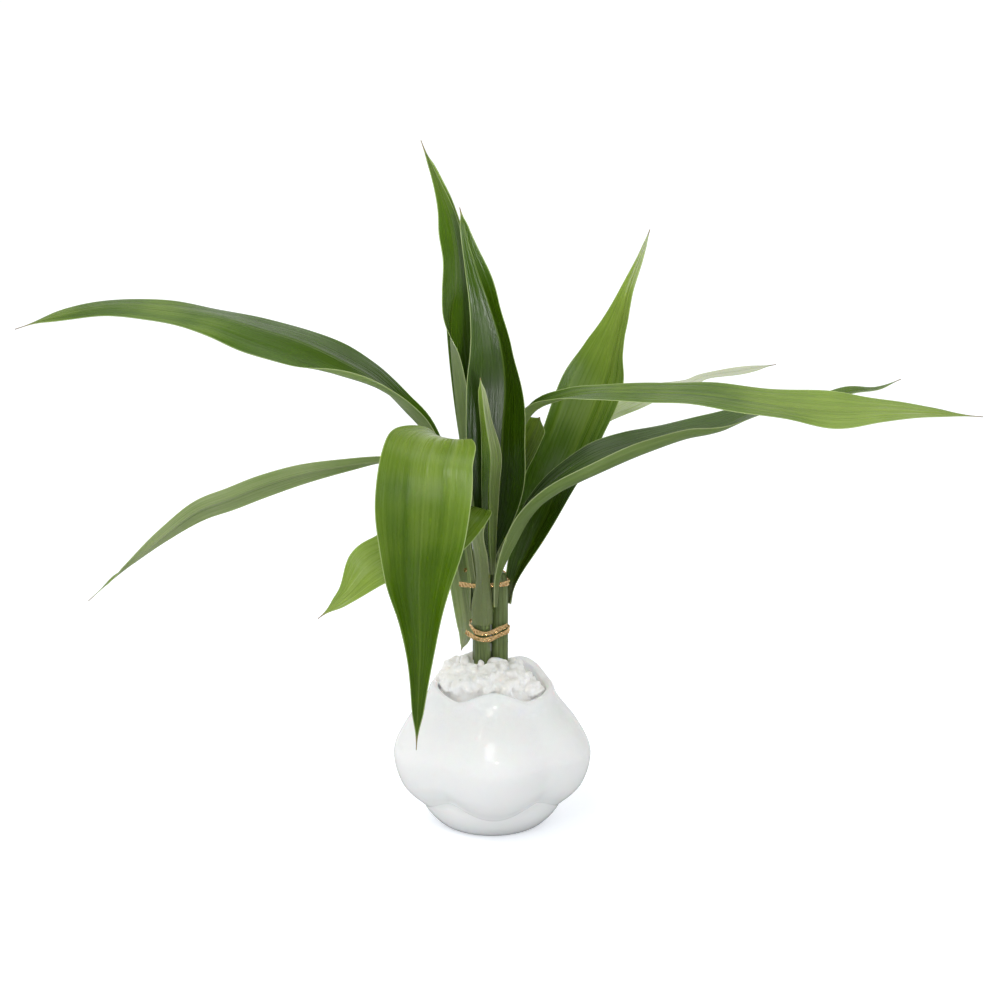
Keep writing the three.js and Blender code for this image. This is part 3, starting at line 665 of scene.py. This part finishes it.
def leaf_face():
    """Living leaf, upper side: deep green tissue under a smooth wax skin, so it takes a broad
    soft shine and shows its parallel veins only as faint streaks."""
    material, shader = new_material(
        "waxy leaf, upper side", IOR=1.42, Specular_IOR_Level=0.4, Subsurface_Weight=0.2,
        Subsurface_Scale=0.001, Subsurface_Radius=(0.7, 1.0, 0.1))
    # The fourth colour is the painted silvery sheen
    colour, streak, height = leaf_pattern(
        material, "#233a00", "#446200", "#839b3c", "#c6cbb2", "#b9c98c", 0.18)
    bump = node(material, "Bump", {"Height": height, "Strength": 0.6, "Distance": 0.0003})
    shine = node(material, "MapRange", {"Value": streak, "To Min": 0.2, "To Max": 0.36}).outputs[0]
    return wire(material, shader, Base_Color=colour, Roughness=shine, Normal=bump.outputs[0])


def leaf_back():
    """Living leaf, underside: paler and matt, its veins raised as fine pale stripes."""
    material, shader = new_material(
        "matt leaf, underside", IOR=1.4, Subsurface_Weight=0.25, Subsurface_Scale=0.001,
        Subsurface_Radius=(0.7, 1.0, 0.15))
    # The fourth colour is the painted silvery sheen
    colour, streak, height = leaf_pattern(
        material, "#566c2c", "#7a8d50", "#a5ae86", "#cfd2c2", "#c3cc9c", 0.6)
    bump = node(material, "Bump", {"Height": height, "Strength": 0.6, "Distance": 0.0003})
    shine = node(material, "MapRange", {"Value": streak, "To Min": 0.42, "To Max": 0.6}).outputs[0]
    return wire(material, shader, Base_Color=colour, Roughness=shine, Normal=bump.outputs[0])


def cane_bark():
    """Green cane: smooth living bark with a thin grey bloom, in streaks along its length."""
    material, shader = new_material(
        "green cane bark", IOR=1.45, Roughness=0.42, Subsurface_Weight=0.1,
        Subsurface_Scale=0.001, Subsurface_Radius=(0.7, 1.0, 0.15))
    place = node(material, "TexCoord").outputs["Object"]
    # Streaks 1 mm wide and about 25 mm long
    stretched = node(material, "Mapping", {"Vector": place, "Scale": (900, 900, 40)}).outputs[0]
    streak = node(material, "TexNoise", {
        "Vector": stretched, "Scale": 1, "Detail": 3, "Roughness": 0.6}).outputs["Fac"]
    colour = node(material, "ValToRGB", {"Fac": streak}, ramp=[
        (0.25, "#3f4b22"), (0.5, "#5f6f3c"), (0.62, "#6f7f4c"), (0.8, "#8f9b74")]).outputs["Color"]
    bump = node(material, "Bump", {"Height": streak, "Strength": 0.3, "Distance": 0.0003})
    return wire(material, shader, Base_Color=colour, Normal=bump.outputs[0])


def porcelain_glaze():
    """Glazed porcelain, dipped and fired: clear hard gloss over a white body, the surface a
    little uneven where the glaze has run."""
    material, shader = new_material(
        "white porcelain glaze", Base_Color=linear("#f5f6f6"), Roughness=0.06, IOR=1.5,
        Subsurface_Weight=0.15, Subsurface_Scale=0.004)
    place = node(material, "TexCoord").outputs["Object"]
    # Runs in the glaze about 9 mm apart
    runs = node(material, "TexNoise", {"Vector": place, "Scale": 110, "Detail": 1}).outputs["Fac"]
    bump = node(material, "Bump", {"Height": runs, "Strength": 0.12, "Distance": 0.002})
    return wire(material, shader, Normal=bump.outputs[0])


def milky_quartz():
    """Milky quartz, crushed: cloudy and translucent, with glassy broken faces."""
    material, shader = new_material(
        "crushed milky quartz", IOR=1.54, Specular_IOR_Level=0.3, Subsurface_Weight=0.7,
        Subsurface_Scale=0.003, Subsurface_Radius=(1.0, 0.93, 0.85))
    place = node(material, "TexCoord").outputs["Object"]
    # Clouds about 4 mm across and grain about 0.8 mm
    cloud = node(material, "TexNoise", {"Vector": place, "Scale": 250, "Detail": 4}).outputs["Fac"]
    grain = node(material, "TexNoise", {"Vector": place, "Scale": 1200, "Detail": 2}).outputs["Fac"]
    colour = node(material, "ValToRGB", {"Fac": cloud}, ramp=[
        (0.3, "#f9f5ef"), (0.55, "#fdfbf8"), (0.75, "#fefefd")]).outputs["Color"]
    bump = node(material, "Bump", {"Height": grain, "Strength": 0.2, "Distance": 0.0004})
    shine = node(material, "MapRange", {"Value": cloud, "To Min": 0.25, "To Max": 0.5}).outputs[0]
    return wire(material, shader, Base_Color=colour, Roughness=shine, Normal=bump.outputs[0])


def gilt_foil():
    """Gilt foil on wire, twisted by hand: bright thin metal, creased across."""
    material, shader = new_material(
        "creased gilt foil", Base_Color=linear("#ffd596"), Metallic=1.0, Roughness=0.2)
    place = node(material, "TexCoord").outputs["Object"]
    # Creases about 3 mm apart
    creases = node(material, "TexNoise", {
        "Vector": place, "Scale": 330, "Detail": 1}).outputs["Fac"]
    bump = node(material, "Bump", {"Height": creases, "Strength": 0.35, "Distance": 0.0008})
    return wire(material, shader, Normal=bump.outputs[0])


def turn_cane(name, place, material):
    """A cane: straight, with a faint swelling at each old leaf scar, closed at both ends."""
    x, y, top = place
    shoulder = top - CANE_TAPER
    random.seed(name)
    scars = [CANE_FOOT + SCAR_FIRST + SCAR_STEP * k + random.uniform(-SCAR_CHANCE, SCAR_CHANCE)
             for k in range(SCAR_COUNT)]
    # Radius and height of each ring: the cut foot, the shaft, the rounded top
    rings = [(CANE_R - 0.4, CANE_FOOT), (CANE_R, CANE_FOOT + 0.6)]
    first = CANE_FOOT + 1
    for k in range(int((shoulder - first) / CANE_RING)):
        z = first + k * CANE_RING
        swell = sum(math.exp(-((z - s) / SCAR_WIDE) ** 2) for s in scars)
        rings.append((CANE_R - SCAR_HIGH + SCAR_HIGH * swell, z))
    rings += [(CANE_R - 0.35, shoulder + 3), (CANE_TOP_R, top - 0.6), (CANE_TOP_R - 0.6, top)]
    points = [(x, y, CANE_FOOT)]
    for radius, z in rings:
        for i in range(CANE_SIDES):
            angle = 2 * math.pi * i / CANE_SIDES
            points.append((x + radius * math.cos(angle), y + radius * math.sin(angle), z))
    points.append((x, y, top))
    faces = []
    for i in range(CANE_SIDES):
        j = (i + 1) % CANE_SIDES
        faces.append((0, 1 + j, 1 + i))
        for r in range(len(rings) - 1):
            low, high = 1 + r * CANE_SIDES, 1 + (r + 1) * CANE_SIDES
            faces.append((low + i, low + j, high + j, high + i))
        last = 1 + (len(rings) - 1) * CANE_SIDES
        faces.append((last + i, last + j, len(points) - 1))
    piece = new_piece(name, points, faces, [material])
    piece.data.set_sharp_from_angle(angle=SHARP)


def lobe_at(angle):
    """How far a direction is on a lobe: 1 on its crown, 0 in the notch between two."""
    return abs(math.cos(len(LOBE_RISES) / 2 * (angle - FRONT_LOBE))) ** LOBE_SOFTNESS


def rim_height(lobe, angle):
    """How high the rim is: lifted by the nearest lobe, and a little higher at the back."""
    turn = round((angle - FRONT_LOBE) / (2 * math.pi) * len(LOBE_RISES))
    return RIM_Z + LOBE_RISES[turn % len(LOBE_RISES)] * lobe + RIM_TILT * math.sin(angle)


def throw_pot(material):
    """The pot's skin in rings: foot, skirt, five swelling lobes, rolled rim and inside."""
    def low_edge(lobe):
        return LOBE_HIGH - (LOBE_HIGH - LOBE_LOW) * lobe

    def skirt(z):
        return FOOT_R + (SKIRT_R - FOOT_R) * (1 - (1 - z / SKIRT_Z) ** 2)

    def side_profile(lobe, angle):
        low, high = low_edge(lobe), rim_height(lobe, angle)
        start = skirt(low)
        bulge_part = LOBE_BULGE * (NOTCH_SHARE + (1 - NOTCH_SHARE) * lobe)
        profile = [(FOOT_R - 5, 0), (FOOT_R - 1, 0)]
        profile += [(skirt(low * share), low * share) for share in SKIRT_RINGS]
        for share, bulge in BULGE:
            base = start + (NECK_R - start) * min(1, share * 3)
            profile.append((base + bulge_part * bulge, low + (high - low) * share))
        profile += [(LIP_R - inward, high + rise) for inward, rise in LIP]
        return profile + POT_INSIDE

    points = []
    columns = []
    for i in range(POT_SIDES):
        angle = 2 * math.pi * i / POT_SIDES
        profile = side_profile(lobe_at(angle), angle)
        steps = (len(profile) - 1) * FINE_RINGS
        column = []
        for s in range(steps + 1):
            radius, z = between(profile, s / steps)
            column.append((radius * math.cos(angle), radius * math.sin(angle), max(z, 0)))
        columns.append(column)
    deep = len(columns[0])
    for column in columns:
        points += column
    foot, floor = len(points), len(points) + 1
    points += [(0, 0, 0), (0, 0, FLOOR_Z)]
    faces = []
    for i in range(POT_SIDES):
        a, b = i * deep, (i + 1) % POT_SIDES * deep
        faces.append((foot, b, a))
        faces += [(a + s, b + s, b + s + 1, a + s + 1) for s in range(deep - 1)]
        faces.append((floor, a + deep - 1, b + deep - 1))
    new_piece("pot", points, faces, [material])


def mound_height(x, y):
    """How high the heap lies: flat round the canes, steep by the rim, lower at one side and
    behind."""
    towards_dip = x * math.cos(DIP_SIDE) + y * math.sin(DIP_SIDE)
    fall = (MOUND_TOP - MOUND_EDGE) * (math.hypot(x, y) / MOUND_R) ** MOUND_STEEPNESS
    dip = DIP_DEPTH * smooth(DIP_FROM, DIP_FULL, towards_dip)
    return MOUND_TOP - fall - dip - MOUND_LEAN * y


def fill_bed(rough):
    """The closed bed under the stones, added to a mesh."""
    columns = []
    for i in range(BED_SIDES):
        angle = 2 * math.pi * i / BED_SIDES
        column = [(r * math.cos(angle), r * math.sin(angle), z) for r, z in BED_WALL]
        for r in BED_RINGS:
            x, y = r * math.cos(angle), r * math.sin(angle)
            column.append((x, y, mound_height(x, y) - BED_UNDER))
        columns.append([rough.verts.new(Vector(p) * MM) for p in column])
    crown = rough.verts.new(Vector((0, 0, MOUND_TOP - BED_UNDER)) * MM)
    foot = rough.verts.new(Vector((0, 0, BED_FOOT)) * MM)
    for i, column in enumerate(columns):
        other = columns[(i + 1) % len(columns)]
        rough.faces.new((foot, other[0], column[0]))
        for s in range(len(column) - 1):
            rough.faces.new((column[s], other[s], other[s + 1], column[s + 1]))
        rough.faces.new((column[-1], other[-1], crown))


def add_stone(rough, size, at):
    """One broken stone with worn edges, added to a mesh at a place in millimetres."""
    stone = bmesh.new()
    stretch = Vector((1, random.uniform(0.75, 1.05), random.uniform(0.65, 0.95)))
    for _ in range(STONE_CORNERS):
        corner = Vector([random.gauss(0, 1) for _ in range(3)]).normalized()
        stone.verts.new(corner * size * random.uniform(0.85, 1.1) * stretch)
    hull = bmesh.ops.convex_hull(stone, input=stone.verts)
    unused = [v for v in hull["geom_interior"] if isinstance(v, bmesh.types.BMVert)]
    bmesh.ops.delete(stone, geom=unused, context="VERTS")
    bmesh.ops.bevel(stone, geom=stone.edges, offset=STONE_WEAR * size, segments=3, profile=0.5,
                    affect="EDGES", clamp_overlap=True)
    turn = Euler([random.uniform(0, 6) for _ in range(3)]).to_matrix()
    made = {v: rough.verts.new((turn @ v.co + at) * MM) for v in stone.verts}
    for f in stone.faces:
        rough.faces.new([made[v] for v in f.verts])
    stone.free()


def break_stones(material):
    """Crushed stones heaped in the pot over a bed that fills it, all in one piece."""
    random.seed(7)
    rough = bmesh.new()
    fill_bed(rough)
    for k in range(STONE_COUNT):
        size = STONE_R * random.uniform(*STONE_SIZES)
        reach = min(STONES_REACH * math.sqrt((k + 0.5) / STONE_COUNT),
                    STONES_OVER_LIP - 0.8 * size)
        angle = k * GOLDEN_TURN + random.uniform(0, 0.6)
        x, y = reach * math.cos(angle), reach * math.sin(angle)
        sunk = STONE_SUNK * size
        height = mound_height(x, y) - sunk - STONE_LAYER * (k % 2) + random.uniform(-0.4, 1.2)
        # No stone lies where a cane stands
        free = CANE_R + 0.5 * size
        if all(math.hypot(x - cane[0], y - cane[1]) >= free for cane in CANES.values()):
            add_stone(rough, size, Vector((x, y, height)))
    mesh = bpy.data.meshes.new("stones_rough")
    rough.to_mesh(mesh)
    rough.free()
    piece = bpy.data.objects.new("stones_heaped", mesh)
    bpy.context.collection.objects.link(piece)
    # One skin over bed and stones, its edges worn a little
    piece.modifiers.new("one skin", "REMESH").voxel_size = STONE_VOXEL * MM
    worn = piece.modifiers.new("worn edges", "SMOOTH")
    worn.factor = 0.5
    worn.iterations = STONE_SMOOTHINGS
    evaluated = piece.evaluated_get(bpy.context.evaluated_depsgraph_get())
    piece.data = bpy.data.meshes.new_from_object(evaluated)
    piece.modifiers.clear()
    piece.data.materials.append(material)
    piece.data.shade_smooth()
    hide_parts("stones")
    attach(piece, "root")


def bend_tie(name, path, material):
    """A flat foil band along its path, creased by the twisting."""
    random.seed(name)
    rows = []
    for t, at, along, face, length in frames_along(path, (0, 0, 1), BAND_STEPS):
        upright = (Vector((0, 0, 1)) - along * along.z).normalized()
        outward = upright.cross(along)
        crimp = CRIMP * math.sin(2 * math.pi * length / CRIMP_LENGTH)
        crimp += random.uniform(-CRIMP_CHANCE, CRIMP_CHANCE)
        width = BAND_WIDTH * (1 - BAND_PINCH + BAND_PINCH * math.sin(length / 1.7))
        row = []
        for c in range(BAND_COLUMNS + 1):
            share = 2 * c / BAND_COLUMNS - 1
            cup = BAND_CUP * (1 - share * share) + crimp * math.cos(3 * share + length)
            row.append(at + upright * (share * width / 2) + outward * cup)
        rows.append(row)
    points = []
    for row, normals in zip(rows, plate_normals(rows)):
        halves = [normal * (BAND_THICK / 2) for normal in normals]
        points += [point + half for point, half in zip(row, halves)]
        points += [point - half for point, half in zip(row, halves)][::-1]
    piece = new_piece(name, points, plate_faces(BAND_STEPS, BAND_COLUMNS + 1), [material])
    piece.data.set_sharp_from_angle(angle=SHARP)


def lay_table():
    """A white table without an edge in view."""
    half = 30
    mesh = bpy.data.meshes.new("floor")
    mesh.from_pydata([(-half, -half, 0), (half, -half, 0), (half, half, 0), (-half, half, 0)],
                     [], [(0, 1, 2, 3)])
    floor = bpy.data.objects.new("floor", mesh)
    material, shader = new_material(
        "white table", Roughness=0.9, Emission_Color=linear("#f6f9ff"))
    rays = node(material, "LightPath").outputs
    # It is overexposed where it is seen directly
    glow = node(material, "Math", {0: rays["Is Camera Ray"], 1: 0.5},
                operation="MULTIPLY").outputs[0]
    # In the mirror of leaves, foil and glaze it is dim in front and bright behind
    place = node(material, "NewGeometry").outputs["Position"]
    depth = node(material, "SeparateXYZ", {"Vector": place}).outputs["Y"]
    front = node(material, "MapRange", {
        "Value": depth, "From Min": -0.05, "From Max": 0.15, "To Min": 0.5, "To Max": 0}).outputs[0]
    dim = node(material, "Math", {0: front, 1: rays["Is Glossy Ray"]},
               operation="MULTIPLY").outputs[0]
    colour = node(material, "Mix", {0: dim, MIX_A: linear("#e2e4e6"), MIX_B: (0, 0, 0, 1)},
                  data_type="RGBA").outputs[MIX_OUT]
    wire(material, shader, Base_Color=colour, Emission_Strength=glow)
    mesh.materials.append(material)
    bpy.context.collection.objects.link(floor)


def light_room():
    """A white room. In a mirror it is bright overhead and behind the plant, dim elsewhere."""
    room = bpy.data.worlds.new("white room")
    room.use_nodes = True
    where = node(room, "TexCoord").outputs["Generated"]
    axes = node(room, "SeparateXYZ", {"Vector": where}).outputs
    overhead = node(room, "VectorMath", {0: where, 1: SOFT_LIGHT_WAY},
                    operation="DOT_PRODUCT").outputs["Value"]
    above = node(room, "MapRange", {
        "Value": overhead, "From Min": 0.86, "From Max": 0.97,
        "To Min": 0.3, "To Max": 1.8}).outputs[0]
    behind = node(room, "MapRange", {
        "Value": axes["Y"], "From Min": 0.6, "From Max": 0.95,
        "To Min": 0, "To Max": 0.9}).outputs[0]
    mirrored = node(room, "Math", {0: above, 1: behind}, operation="MAXIMUM").outputs[0]
    # The light itself is a little stronger from the left
    lit = node(room, "Math", {0: axes["X"], 1: -0.1, 2: 0.8}, operation="MULTIPLY_ADD").outputs[0]
    rays = node(room, "LightPath").outputs
    unseen = node(room, "Mix", {0: rays["Is Glossy Ray"], 2: lit, 3: mirrored},
                  data_type="FLOAT").outputs[0]
    strength = node(room, "Mix", {0: rays["Is Camera Ray"], 2: unseen, 3: 1.05},
                    data_type="FLOAT").outputs[0]
    background = room.node_tree.nodes["Background"]
    background.inputs["Color"].default_value = (1, 1, 1, 1)
    room.node_tree.links.new(strength, background.inputs["Strength"])
    bpy.context.scene.world = room


def soft_box(name, place, size, power, colour=(1, 1, 1), spread=180, aim=AIM):
    """A square lamp at a place in metres, turned towards a point."""
    lamp = bpy.data.lights.new(name, "AREA")
    lamp.shape = "SQUARE"
    lamp.size = size
    lamp.energy = power
    lamp.color = colour
    lamp.spread = math.radians(spread)
    holder = bpy.data.objects.new(name, lamp)
    holder.location = place
    holder.rotation_euler = (aim - Vector(place)).to_track_quat("-Z", "Y").to_euler()
    bpy.context.collection.objects.link(holder)


def set_up_camera():
    """A camera at the photo's angle."""
    lens = bpy.data.cameras.new("camera")
    lens.sensor_width = 36
    lens.lens = lens.sensor_width / 2 / math.tan(FIELD_OF_VIEW / 2)
    camera = bpy.data.objects.new("camera", lens)
    back = Vector((0, -math.cos(LOOK_DOWN), math.sin(LOOK_DOWN)))
    camera.location = AIM + back * CAMERA_DISTANCE
    camera.rotation_euler = (-back).to_track_quat("-Z", "Y").to_euler()
    bpy.context.collection.objects.link(camera)
    bpy.context.scene.camera = camera
    bpy.context.scene.view_settings.view_transform = "Standard"


blade_skins = [leaf_face(), leaf_back()]
for leaf_name, leaf in LEAVES.items():
    grow_leaf(leaf_name, leaf, blade_skins)
bark = cane_bark()
for cane_name, place in CANES.items():
    turn_cane(cane_name, place, bark)
foil = gilt_foil()
for tie_name, tie in TIES.items():
    bend_tie(tie_name, tie, foil)
throw_pot(porcelain_glaze())
break_stones(milky_quartz())

lay_table()
light_room()
soft_box("key", (-0.55, -0.5, 1.35), 0.55, 6, (1, 0.99, 0.97))
soft_box("front", (0.35, -1.25, 0.12), 0.09, 0.4)
soft_box("low", (0.2, -0.62, 0.02), 0.11, 0.06, spread=18, aim=Vector((0, 0, 0.262)))
soft_box("small window", (0.75, -1.1, 0.55), 0.05, 0.25)
soft_box("on the stones", (0.12, -0.85, 0.62), 0.1, 0.005, spread=5,
         aim=Vector((0.003, -0.01, 0.093)))
soft_box("above the lens", (-0.15, -0.96, 0.95), 0.4, 1.5)
set_up_camera()
